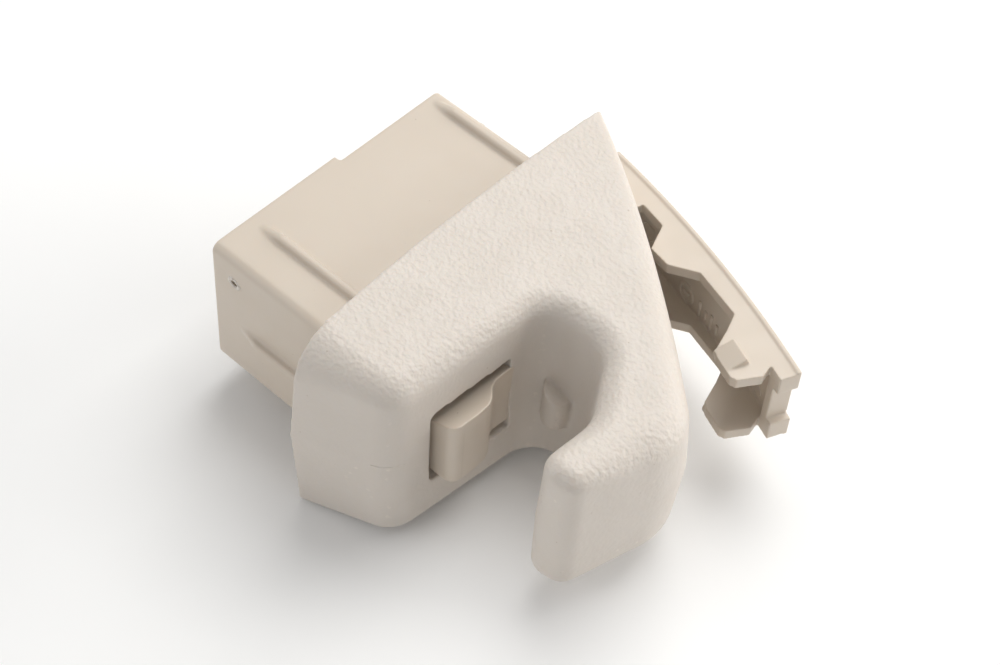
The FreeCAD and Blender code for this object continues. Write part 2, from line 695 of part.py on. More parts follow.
def cover_barb():
    """Ramped catch on the flange's outer face; it rises from the inner edge."""
    top = COVER_HALF_Z
    ends = []
    for u in (BARB_FROM_U, BARB_TO_U):
        foot = on_back(u, BARB_FOOT_V) + V(0, 0, top)
        crest = on_back(u, BARB_CREST_V + BARB_LEAN) + V(0, 0, top + BARB_RISE)
        heel = on_back(u, BARB_CREST_V) + V(0, 0, top)
        ends.append(Part.makePolygon([foot, crest, heel, foot]))
    root = slab(arc_band(BARB_FROM_U, BARB_TO_U, BARB_CREST_V, BARB_FOOT_V), top - COVER_FLANGE / 2, top)
    return Part.makeLoft(ends, True, True).fuse(root)


def make_cover():
    """Screw cover, drawn closed and then swung to where it rests, open."""
    web = slab(arc_band(COVER_TOP_U, END_STRIP_U, 0.0, COVER_WEB), -COVER_HALF_Z, COVER_HALF_Z)
    strip_plan = arc_band(END_LUG_FROM_U, END_STRIP_U, 0.0, END_LUG_DEPTH)
    strip = slab(strip_plan, -COVER_HALF_Z, COVER_HALF_Z)
    half = COVER_HALF_Z + RIM_HEIGHT
    lug_gap = COVER_HALF_Z - END_LUG_Z
    rim = slab(arc_band(COVER_TOP_U, COVER_END_U, 0.0, RIM_WIDTH), -half, half)
    gap_plan = arc_band(END_STRIP_U, COVER_END_U + COVER_GAP, -COVER_GAP, COVER_WEB)
    rim = rim.cut(slab(gap_plan, -lug_gap, lug_gap))
    upper = cover_flange()
    lower = upper.mirror(V(0, 0, 0), V(0, 0, 1))
    cover = web.fuse(strip).fuse(rim).fuse(upper).fuse(lower)
    return swing(cover, OPEN_DEG)


def main():
    os.makedirs("parts", exist_ok=True)
    save(make_hook_body(), "hook_body")
    save(make_spring_tongue(), "spring_tongue")
    save(make_stem_box(), "stem_box")
    save(make_stem_latch(), "stem_latch")
    save(make_screw(), "mounting_screw")
    save(make_washer(), "screw_washer")
    save(make_sleeve(), "compression_sleeve")
    save(make_cover(), "screw_cover")


if __name__ == "__main__":
    main()
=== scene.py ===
import logging
import math
from dataclasses import dataclass, field
from enum import Enum

import bmesh
import bpy
from mathutils import Matrix, Vector, noise


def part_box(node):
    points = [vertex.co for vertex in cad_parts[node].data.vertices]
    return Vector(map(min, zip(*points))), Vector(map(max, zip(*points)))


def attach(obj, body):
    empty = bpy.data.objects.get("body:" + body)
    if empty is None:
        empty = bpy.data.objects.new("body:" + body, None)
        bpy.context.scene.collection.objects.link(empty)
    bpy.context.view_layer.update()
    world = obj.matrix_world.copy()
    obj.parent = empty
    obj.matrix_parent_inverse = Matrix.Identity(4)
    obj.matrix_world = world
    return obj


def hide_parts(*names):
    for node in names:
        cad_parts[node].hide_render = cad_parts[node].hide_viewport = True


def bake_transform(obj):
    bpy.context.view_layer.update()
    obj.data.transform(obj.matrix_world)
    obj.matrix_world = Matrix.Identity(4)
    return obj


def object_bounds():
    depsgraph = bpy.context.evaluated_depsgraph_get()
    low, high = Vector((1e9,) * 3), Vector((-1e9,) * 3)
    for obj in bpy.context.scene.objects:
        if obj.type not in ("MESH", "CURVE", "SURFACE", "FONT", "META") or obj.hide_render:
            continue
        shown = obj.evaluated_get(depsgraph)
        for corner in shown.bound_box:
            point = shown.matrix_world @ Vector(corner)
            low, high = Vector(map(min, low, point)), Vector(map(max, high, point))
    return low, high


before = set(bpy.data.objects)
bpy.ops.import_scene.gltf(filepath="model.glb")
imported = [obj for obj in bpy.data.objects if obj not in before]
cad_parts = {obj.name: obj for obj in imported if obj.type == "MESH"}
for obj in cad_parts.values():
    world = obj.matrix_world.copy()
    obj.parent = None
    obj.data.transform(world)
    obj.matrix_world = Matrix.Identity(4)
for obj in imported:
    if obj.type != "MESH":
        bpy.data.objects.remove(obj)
CAD_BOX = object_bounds()

MM = 0.001
CRISP_SHARE = 0.4             # smoothing in a crisp zone, as a share of that elsewhere
ROOT_ZONE = 0.25 * MM         # a spring's root is stretched over this length
BEAD_SIDES = 8
LOG = logging.getLogger("rod_hook")


class Slot(Enum):
    """Material slots of the record."""

    GRAINED = "grained_shell"
    SMOOTH = "smooth_plastic"
    STEEL = "plated_steel"


class Body(Enum):
    """Rigid bodies that pieces ride on."""

    FIXED = "body"
    TONGUE = "tongue"
    LATCH = "latch"
    COVER = "cover"


# ------------------------------------------------------------------ finishes


class NodeSheet:
    """A material's node tree with short calls for the nodes that the finishes share."""

    def __init__(self, name: str) -> None:
        """Makes an empty material.

        Args:
            name: The material's name.
        """
        self.material = bpy.data.materials.new(name)
        self.material.use_nodes = True
        self.tree = self.material.node_tree
        self.shader = self.tree.nodes["Principled BSDF"]
        self.place = self.tree.nodes.new("ShaderNodeTexCoord").outputs["Object"]

    def node(self, kind: str, settings: dict | None = None, inputs: dict | None = None) -> bpy.types.Node:
        """Adds a node.

        Args:
            kind: Type name of the node.
            settings: Attributes to set on the node.
            inputs: Socket values, or sockets to link from, by socket name or number.

        Returns:
            The new node.
        """
        made = self.tree.nodes.new(kind)
        for key, value in (settings or {}).items():
            setattr(made, key, value)
        for key, value in (inputs or {}).items():
            self.feed(made, key, value)
        return made

    def feed(self, made: bpy.types.Node, key: str | int, value: object) -> None:
        """Sets a socket to a value, or links it if the value is a socket.

        Args:
            made: Node that has the socket.
            key: The socket's name or number.
            value: A plain value, or a socket to link from.
        """
        if isinstance(value, bpy.types.NodeSocket):
            self.tree.links.new(value, made.inputs[key])
        else:
            made.inputs[key].default_value = value

    def cloud(self, wave_mm: float, detail: float = 3.0, rough: float = 0.5, warp: float = 0.0,
              where: bpy.types.NodeSocket | None = None) -> bpy.types.NodeSocket:
        """Adds a noise pattern.

        Args:
            wave_mm: Size of one blob, in millimetres.
            detail: Octaves.
            rough: Strength of the finer octaves.
            warp: Distortion.
            where: Coordinates, or the piece's own when left out.

        Returns:
            The noise's factor socket.
        """
        made = self.node("ShaderNodeTexNoise", inputs={
            "Vector": where or self.place, "Scale": 1.0 / (wave_mm * MM), "Detail": detail,
            "Roughness": rough, "Distortion": warp})
        return made.outputs["Fac"]

    def remap(self, value: bpy.types.NodeSocket, low: float, high: float,
              to_low: float = 0.0, to_high: float = 1.0) -> bpy.types.NodeSocket:
        """Maps a value's range smoothly onto another and clamps it.

        Args:
            value: Socket to read.
            low: Value that becomes to_low.
            high: Value that becomes to_high.
            to_low: Result at and below low.
            to_high: Result at and above high.

        Returns:
            The mapped value's socket.
        """
        made = self.node("ShaderNodeMapRange", {"interpolation_type": "SMOOTHSTEP"}, {
            "Value": value, "From Min": low, "From Max": high, "To Min": to_low, "To Max": to_high})
        return made.outputs["Result"]

    def math(self, operation: str, first: object, second: object) -> bpy.types.NodeSocket:
        """Combines two values or sockets with a maths node."""
        return self.node("ShaderNodeMath", {"operation": operation}, {0: first, 1: second}).outputs[0]

    def mix(self, amount: object, first: object, second: object) -> bpy.types.NodeSocket:
        """Mixes two colours by a factor."""
        made = self.node("ShaderNodeMix", {"data_type": "RGBA"}, {"Factor": amount, "A": first, "B": second})
        return made.outputs[2]

    def split(self, vector: bpy.types.NodeSocket) -> bpy.types.NodeOutputs:
        """Splits a vector into X, Y and Z."""
        return self.node("ShaderNodeSeparateXYZ", inputs={0: vector}).outputs

    def convexity(self) -> bpy.types.NodeSocket:
        """Geometry's pointiness: above a half on outer edges, below it in corners."""
        return self.node("ShaderNodeNewGeometry").outputs["Pointiness"]

    def bump(self, height: bpy.types.NodeSocket, depth_mm: float, strength: object = 1.0,
             under: bpy.types.NodeSocket | None = None) -> bpy.types.NodeSocket:
        """Adds a bump of a real depth on top of another.

        Args:
            height: Height pattern, from 0 to 1.
            depth_mm: Depth of the pattern in millimetres.
            strength: Strength, or a mask.
            under: Normal of the bump beneath.

        Returns:
            The bumped normal.
        """
        made = self.node("ShaderNodeBump", inputs={
            "Height": height, "Distance": depth_mm * MM, "Strength": strength})
        if under is not None:
            self.tree.links.new(under, made.inputs["Normal"])
        return made.outputs["Normal"]


@dataclass(frozen=True)
class MouldedPlastic:
    """Warm beige moulded plastic, grained or smooth."""

    name: str
    colour: tuple[float, float, float] = (0.640, 0.560, 0.470)
    tint: tuple[float, float, float] = (0.632, 0.551, 0.461)
    worn: tuple[float, float, float] = (0.760, 0.690, 0.610)
    # darker colour used both for the painted shade in concave corners and for the random dark flecks
    shade_and_fleck: tuple[float, float, float] = (0.400, 0.320, 0.245)
    roughness: float = 0.46
    scatter_mm: float = 0.5
    drift_wave_mm: float = 7.0
    wear_wave_mm: float = 0.9
    fleck_wave_mm: float = 0.55
    fleck_share: float = 0.80
    gloss_wave_mm: float = 2.6
    sink_wave_mm: float = 5.5
    sink_depth_mm: float = 0.004
    tool_wave_mm: float = 0.16
    tool_depth_mm: float = 0.0022
    grain_wave_mm: float = 0.42
    grain_depth_mm: float = 0.0

    def make(self) -> bpy.types.Material:
        """Builds the material.

        Returns:
            The finished material.
        """
        sheet = NodeSheet(self.name)
        shader = sheet.shader
        shader.inputs["Subsurface Weight"].default_value = 0.12
        shader.inputs["Subsurface Radius"].default_value = (1.0, 0.62, 0.38)
        shader.inputs["Subsurface Scale"].default_value = self.scatter_mm * MM
        shader.inputs["IOR"].default_value = 1.52
        sheet.feed(shader, "Base Color", self._colours(sheet))
        sheet.feed(shader, "Roughness", self._gloss(sheet))
        sheet.feed(shader, "Normal", self._relief(sheet))
        return sheet.material

    def _colours(self, sheet: NodeSheet) -> bpy.types.NodeSocket:
        """Base colour: slow drift, rubbed edges, painted shade in corners and a few dark flecks.

        Args:
            sheet: The material's node sheet.

        Returns:
            The colour socket.
        """
        drift = sheet.remap(sheet.cloud(self.drift_wave_mm, 2.0), 0.35, 0.65)
        colour = sheet.mix(drift, (*self.tint, 1.0), (*self.colour, 1.0))
        point = sheet.convexity()
        broken = sheet.remap(sheet.cloud(self.wear_wave_mm, 4.0, 0.6), 0.38, 0.66)
        edge = sheet.math("MULTIPLY", sheet.remap(point, 0.52, 0.60, 0.0, 0.55), broken)
        colour = sheet.mix(edge, colour, (*self.worn, 1.0))
        # painted shade: concave corners and creases are mixed towards the darker colour, standing in for the
        # shade that falls there
        corner = sheet.remap(point, 0.485, 0.42, 0.0, 0.45)
        colour = sheet.mix(corner, colour, (*self.shade_and_fleck, 1.0))
        specks = sheet.cloud(self.fleck_wave_mm, 1.0)
        fleck = sheet.remap(specks, self.fleck_share, self.fleck_share + 0.03, 0.0, 0.5)
        return sheet.mix(fleck, colour, (*self.shade_and_fleck, 1.0))

    def _gloss(self, sheet: NodeSheet) -> bpy.types.NodeSocket:
        """Roughness: cloudy, and a little shinier where hands and panel rub the edges.

        Args:
            sheet: The material's node sheet.

        Returns:
            The roughness socket.
        """
        clouds = sheet.cloud(self.gloss_wave_mm, 4.0, 0.6)
        base = sheet.remap(clouds, 0.3, 0.7, self.roughness - 0.06, self.roughness + 0.07)
        shine = sheet.remap(sheet.convexity(), 0.52, 0.62, 0.0, 0.08)
        return sheet.math("SUBTRACT", base, shine)

    def _relief(self, sheet: NodeSheet) -> bpy.types.NodeSocket:
        """Bump: slow sink marks, fine tool marks and, where there is some, the etched grain.

        Args:
            sheet: The material's node sheet.

        Returns:
            The normal socket.
        """
        normal = sheet.bump(sheet.cloud(self.sink_wave_mm, 1.0), self.sink_depth_mm)
        normal = sheet.bump(sheet.cloud(self.tool_wave_mm, 3.0, 0.6), self.tool_depth_mm, under=normal)
        if self.grain_depth_mm <= 0.0:
            return normal
        facing = sheet.split(sheet.node("ShaderNodeNewGeometry").outputs["True Normal"])["Z"]
        mask = sheet.remap(sheet.math("ABSOLUTE", facing, 0.0), 0.15, 0.75, 0.30, 1.0)
        wrinkle = sheet.cloud(self.grain_wave_mm, 1.0, 0.35, 0.1)
        cells = sheet.node("ShaderNodeTexVoronoi", {"feature": "SMOOTH_F1"}, {
            "Vector": sheet.place, "Scale": 0.8 / (self.grain_wave_mm * MM), "Smoothness": 1.0})
        height = sheet.math("ADD", sheet.math("MULTIPLY", wrinkle, 0.8),
                            sheet.math("MULTIPLY", cells.outputs["Distance"], 0.25))
        return sheet.bump(height, self.grain_depth_mm, mask, normal)


@dataclass(frozen=True)
class TornPlastic:
    """Whitened, rough plastic where a stub was broken off."""

    name: str = "torn_plastic"
    sound: tuple[float, float, float] = (0.62, 0.55, 0.47)
    whitened: tuple[float, float, float] = (0.82, 0.78, 0.73)
    patch_wave_mm: float = 0.18
    crumb_wave_mm: float = 0.09
    crumb_depth_mm: float = 0.03

    def make(self) -> bpy.types.Material:
        """Builds the material: pale, rough and crumbly.

        Returns:
            The finished material.
        """
        sheet = NodeSheet(self.name)
        patch = sheet.remap(sheet.cloud(self.patch_wave_mm, 4.0, 0.7), 0.35, 0.65)
        colour = sheet.mix(patch, (*self.sound, 1.0), (*self.whitened, 1.0))
        sheet.feed(sheet.shader, "Base Color", colour)
        sheet.feed(sheet.shader, "Roughness", sheet.remap(patch, 0.0, 1.0, 0.5, 0.75))
        crumbs = sheet.cloud(self.crumb_wave_mm, 5.0, 0.7)
        sheet.feed(sheet.shader, "Normal", sheet.bump(crumbs, self.crumb_depth_mm))
        return sheet.material


@dataclass(frozen=True)
class PlatedSteel:
    """Zinc-plated steel with fine turning marks."""

    name: str
    colour: tuple[float, float, float] = (0.56, 0.56, 0.54)
    stain: tuple[float, float, float] = (0.44, 0.41, 0.34)
    roughness: float = 0.30
    stain_wave_mm: float = 0.8
    gloss_wave_mm: float = 0.5
    turning_wave_mm: float = 0.9
    turning_stretch: float = 9.0
    turning_depth_mm: float = 0.008
    plating_wave_mm: float = 0.12
    plating_depth_mm: float = 0.004

    def make(self) -> bpy.types.Material:
        """Builds the material: stained zinc over fine turning marks.

        Returns:
            The finished material.
        """
        sheet = NodeSheet(self.name)
        sheet.shader.inputs["Metallic"].default_value = 1.0
        spots = sheet.remap(sheet.cloud(self.stain_wave_mm, 5.0, 0.65), 0.48, 0.72, 0.0, 0.7)
        sheet.feed(sheet.shader, "Base Color", sheet.mix(spots, (*self.colour, 1.0), (*self.stain, 1.0)))
        clouds = sheet.cloud(self.gloss_wave_mm, 4.0, 0.6)
        rough = sheet.remap(clouds, 0.3, 0.7, self.roughness - 0.08, self.roughness + 0.12)
        sheet.feed(sheet.shader, "Roughness", rough)
        scratches = sheet.node("ShaderNodeMapping", inputs={
            "Vector": sheet.place, "Scale": (1.0, self.turning_stretch, 1.0)})
        marks = sheet.cloud(self.turning_wave_mm, 3.0, 0.6, where=scratches.outputs["Vector"])
        normal = sheet.bump(marks, self.turning_depth_mm)
        plating = sheet.cloud(self.plating_wave_mm, 2.0)
        sheet.feed(sheet.shader, "Normal", sheet.bump(plating, self.plating_depth_mm, under=normal))
        return sheet.material


# ------------------------------------------------------------------ mesh work


def new_piece(name: str, mesh: bpy.types.Mesh, material: bpy.types.Material) -> bpy.types.Object:
    """Puts a mesh in the scene.

    Args:
        name: Name of the piece.
        mesh: Its mesh, in the row frame.
        material: Its only material.

    Returns:
        The new object.
    """
    piece = bpy.data.objects.new(name, mesh)
    bpy.context.scene.collection.objects.link(piece)
    mesh.materials.clear()
    mesh.materials.append(material)
    for face in mesh.polygons:
        face.use_smooth = True
        face.material_index = 0
    return piece


def mesh_from(work: bmesh.types.BMesh, name: str) -> bpy.types.Mesh:
    """Turns a bmesh into a mesh with outward normals, and frees the bmesh.

    Args:
        work: The bmesh.
        name: Name of the mesh.

    Returns:
        The mesh.
    """
    bmesh.ops.recalc_face_normals(work, faces=work.faces)
    mesh = bpy.data.meshes.new(name)
    work.to_mesh(mesh)
    work.free()
    return mesh


def settle(piece: bpy.types.Object) -> None:
    """Applies every modifier of a piece.

    Args:
        piece: Piece whose modifiers are applied.
    """
    graph = bpy.context.evaluated_depsgraph_get()
    graph.update()
    applied = bpy.data.meshes.new_from_object(piece.evaluated_get(graph))
    piece.modifiers.clear()
    piece.data = applied
    for face in applied.polygons:
        face.use_smooth = True


def rounded_moulding(node: str, name: str, material: bpy.types.Material, voxel_mm: float, passes: int,
                     crisp: tuple[Vector, Vector] | None = None) -> bpy.types.Object:
    """Copies a CAD solid with the small soft edges that come out of a mould.

    Args:
        node: The CAD node that it stands for.
        name: Name of the piece.
        material: Its material.
        voxel_mm: Grid size of the remesh.
        passes: Smoothing passes; more passes give rounder edges.
        crisp: Lowest and highest corner of a zone that is smoothed less.

    Returns:
        The rounded piece, which replaces the node.
    """
    piece = new_piece(name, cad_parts[node].data.copy(), material)
    remesh = piece.modifiers.new("remesh", "REMESH")
    remesh.mode = "VOXEL"
    remesh.voxel_size = voxel_mm * MM
    settle(piece)
    smooth = piece.modifiers.new("smooth", "SMOOTH")
    smooth.factor = 0.5
    smooth.iterations = passes
    if crisp is not None:
        share = piece.vertex_groups.new(name="softness")
        inside, outside = [], []
        for vertex in piece.data.vertices:
            within = all(crisp[0][axis] < vertex.co[axis] < crisp[1][axis] for axis in range(3))
            (inside if within else outside).append(vertex.index)
        share.add(inside, CRISP_SHARE, "REPLACE")
        share.add(outside, 1.0, "REPLACE")
        smooth.vertex_group = share.name
    settle(piece)
    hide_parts(node)
    return piece


def tube_along(name: str, points: list[Vector], radius: float, closed: bool, material: bpy.types.Material,
               flat: float = 1.0, rise: Vector = Vector((0, 0, 1))) -> bpy.types.Object:
    """Makes a thin bead along a line of points.

    Args:
        name: Name of the piece.
        points: Points that the bead follows.
        radius: The bead's radius.
        closed: Whether the last point joins the first.
        material: Its material.
        flat: Height of the bead along rise, as a share of its width.
        rise: Direction in which the bead is flattened.

    Returns:
        The bead.
    """
    work = bmesh.new()
    rings = []
    count = len(points)
    for number, point in enumerate(points):
        ahead = points[(number + 1) % count] if closed or number + 1 < count else point
        behind = points[number - 1] if closed or number > 0 else point
        along = (ahead - behind).normalized()
        across = along.cross(rise).normalized()
        up = across.cross(along).normalized()
        ring = []
        for side in range(BEAD_SIDES):
            turn = 2 * math.pi * side / BEAD_SIDES
            ring.append(work.verts.new(
                point + across * math.cos(turn) * radius + up * math.sin(turn) * radius * flat))
        rings.append(ring)
    last = count if closed else count - 1
    for number in range(last):
        near, far = rings[number], rings[(number + 1) % count]
        for side in range(BEAD_SIDES):
            nxt = (side + 1) % BEAD_SIDES
            work.faces.new((near[side], near[nxt], far[nxt], far[side]))
    if not closed:
        work.faces.new(rings[0])
        work.faces.new(list(reversed(rings[-1])))
    return new_piece(name, mesh_from(work, name), material)


# ------------------------------------------------------------------ the hook's sub-assemblies


@dataclass
class HookHead:
    """The grained head with its throat, lug and hollow back."""

    voxel_mm: float = 0.15
    passes: int = 5
    crisp_low: Vector = Vector((-13.4, -17.8, -6.2)) * MM
    crisp_high: Vector = Vector((3.0, -11.4, 5.2)) * MM
    part_line_radius: float = 0.035 * MM
    part_line_level: float = 0.0004 * MM
    part_line_step: float = 0.35 * MM
    left_wall_reach: float = 5.2 * MM
    nose_reach: float = 4.6 * MM
    nose_from_y: float = -9.0 * MM
    clear_of_lip: float = 17.5 * MM
    clear_of_panel: float = 5.2 * MM
    finish: MouldedPlastic = field(default_factory=lambda: MouldedPlastic(
        "grained_plastic", colour=(0.664, 0.606, 0.545), tint=(0.650, 0.592, 0.530),
        grain_depth_mm=0.13, roughness=0.50))

    def build(self) -> list[bpy.types.Object]:
        """Builds and dresses the head.

        Returns:
            The head and the mould's parting line round it.
        """
        material = self.finish.make()
        head = rounded_moulding("hook_body", "head_shell", material, self.voxel_mm, self.passes,
                                (self.crisp_low, self.crisp_high))
        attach(head, Body.FIXED.value)
        return [head, self._parting_line(material)]

    def _parting_line(self, material: bpy.types.Material) -> bpy.types.Object:
        """Fine raised line at mid height on the left wall, where the mould halves meet.

        Args:
            material: Material of the head.

        Returns:
            The line.
        """
        work = bmesh.new()
        work.from_mesh(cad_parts["hook_body"].data)
        cut = bmesh.ops.bisect_plane(
            work, geom=work.verts[:] + work.edges[:] + work.faces[:],
            plane_co=(0, 0, self.part_line_level), plane_no=(0, 0, 1), clear_inner=True, clear_outer=True)
        points = [v.co.copy() for v in cut["geom_cut"] if isinstance(v, bmesh.types.BMVert)]
        work.free()
        low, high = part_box("hook_body")
        nearest = low.y + self.clear_of_lip
        farthest = high.y - self.clear_of_panel
        wall = [p for p in points if p.x < low.x + self.left_wall_reach and nearest < p.y < farthest]
        wall = [p for p in wall if p.x < low.x + self.nose_reach or p.y < self.nose_from_y]
        outer: dict[int, Vector] = {}
        step = self.part_line_step
        for point in wall:
            key = round(point.y / step)
            if key not in outer or point.x < outer[key].x:
                outer[key] = point
        ordered = [outer[key] for key in sorted(outer)]
        spaced = [ordered[0]]
        for point in ordered[1:]:
            if (point - spaced[-1]).length > step:
                spaced.append(point)
        line = tube_along("parting_line", spaced, self.part_line_radius, False, material)
        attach(line, Body.FIXED.value)
        return line


@dataclass
class SpringTongue:
    """The sprung tongue, rooted in the throat's wall."""

    voxel_mm: float = 0.09
    passes: int = 5
    root_overlap: float = 0.5 * MM
    bend_length: float = 3.0 * MM
    finish: MouldedPlastic = field(default_factory=lambda: MouldedPlastic("tongue_plastic", roughness=0.42))

    def build(self) -> list[bpy.types.Object]:
        """Builds the tongue and ties its root to the head.

        Returns:
            The tongue's pieces.
        """
        material = self.finish.make()
        tongue = rounded_moulding("spring_tongue", "tongue_strip", material, self.voxel_mm, self.passes)
        low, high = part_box("spring_tongue")
        root = high.x
        for vertex in tongue.data.vertices:
            if vertex.co.x > root - ROOT_ZONE:
                share = (vertex.co.x - root + ROOT_ZONE) / ROOT_ZONE
                vertex.co.x += self.root_overlap * max(0.0, min(1.0, share))
        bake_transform(tongue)
        return [tongue]


@dataclass
class Stem:
    """The box that enters the panel, its crush ribs, sprung latch and gate scar."""

    voxel_mm: float = 0.15
    passes: int = 5
    latch_voxel_mm: float = 0.10
    latch_overlap: float = 0.4 * MM
    latch_bend: float = 2.6 * MM
    wall_inset: float = 0.75 * MM
    pit_from_end: float = 2.85 * MM
    pit_from_top: float = 3.9 * MM
    pit_mouth: float = 0.36 * MM
    scar_reach: float = 0.95 * MM
    scar_height: float = 0.12 * MM
    scar_sunk: float = 0.12 * MM
    scar_rings: int = 7
    scar_spokes: int = 36
    finish: MouldedPlastic = field(default_factory=lambda: MouldedPlastic("stem_plastic", roughness=0.40))

    def build(self) -> list[bpy.types.Object]:
        """Builds the stem's pieces.

        Returns:
            The box, the latch and the torn rim.
        """
        material = self.finish.make()
        stem = rounded_moulding("stem_box", "stem_shell", material, self.voxel_mm, self.passes)
        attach(stem, Body.FIXED.value)
        return [stem, self._latch(material), self._scar()]

    def _latch(self, material: bpy.types.Material) -> bpy.types.Object:
        """The latch, bending from its root in the stem's wall.

        Args:
            material: Material of the stem.

        Returns:
            The latch, rooted in the stem's wall.
        """
        latch = rounded_moulding("stem_latch", "latch_finger", material, self.latch_voxel_mm, self.passes)
        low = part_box("stem_latch")[0]
        for vertex in latch.data.vertices:
            if vertex.co.y < low.y + ROOT_ZONE:
                share = (low.y + ROOT_ZONE - vertex.co.y) / ROOT_ZONE
                vertex.co.y -= self.latch_overlap * max(0.0, min(1.0, share))
        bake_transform(latch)
        return latch

    def _scar(self) -> bpy.types.Object:
        """Torn rim round the pit where the runner was broken off the stem's left wall.

        Returns:
            The rim.
        """
        low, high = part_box("stem_box")
        centre = Vector((low.x + self.wall_inset, high.y - self.pit_from_end, high.z - self.pit_from_top))
        work = bmesh.new()
        rows = []
        for ring in range(self.scar_rings + 1):
            rows.append(self._scar_ring(work, centre, ring / self.scar_rings))
        sunk = Vector((self.scar_sunk, 0, 0))
        rows.append([work.verts.new(v.co + sunk) for v in rows[-1]])
        rows.append([work.verts.new(v.co + sunk) for v in rows[0]])
        for near, far in zip(rows, rows[1:] + rows[:1]):
            for spoke in range(self.scar_spokes):
                nxt = (spoke + 1) % self.scar_spokes
                work.faces.new((near[spoke], near[nxt], far[nxt], far[spoke]))
        scar = new_piece("gate_scar", mesh_from(work, "gate_scar"), TornPlastic().make())
        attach(scar, Body.FIXED.value)
        return scar

    def _scar_ring(self, work: bmesh.types.BMesh, centre: Vector, share: float) -> list[bmesh.types.BMVert]:
        """One ring of the torn rim.

        Args:
            work: Mesh that takes the ring.
            centre: Middle of the pit, on the wall.
            share: 0 at the pit's mouth, 1 at the rim's foot.

        Returns:
            The ring's vertices.
        """
        ring = []
        for spoke in range(self.scar_spokes):
            turn = 2 * math.pi * spoke / self.scar_spokes
            place = Vector((math.cos(turn) * 1.6, math.sin(turn) * 1.6, share * 1.4))
            ragged = 1 + 0.30 * noise.noise(place) + 0.12 * noise.noise(place * 4)
            out = self.pit_mouth + (self.scar_reach * ragged - self.pit_mouth) * share
            fall = math.sin(math.pi * min(1.0, share * 1.25)) * (1 - share * 0.4)
            lift = self.scar_height * fall * (1 + 0.9 * noise.noise(place * 3))
            lift -= self.scar_height * 0.5 * share * share
            ring.append(work.verts.new(
                centre + Vector((-lift, math.cos(turn) * out * 1.1, math.sin(turn) * out * 0.85))))
        return ring


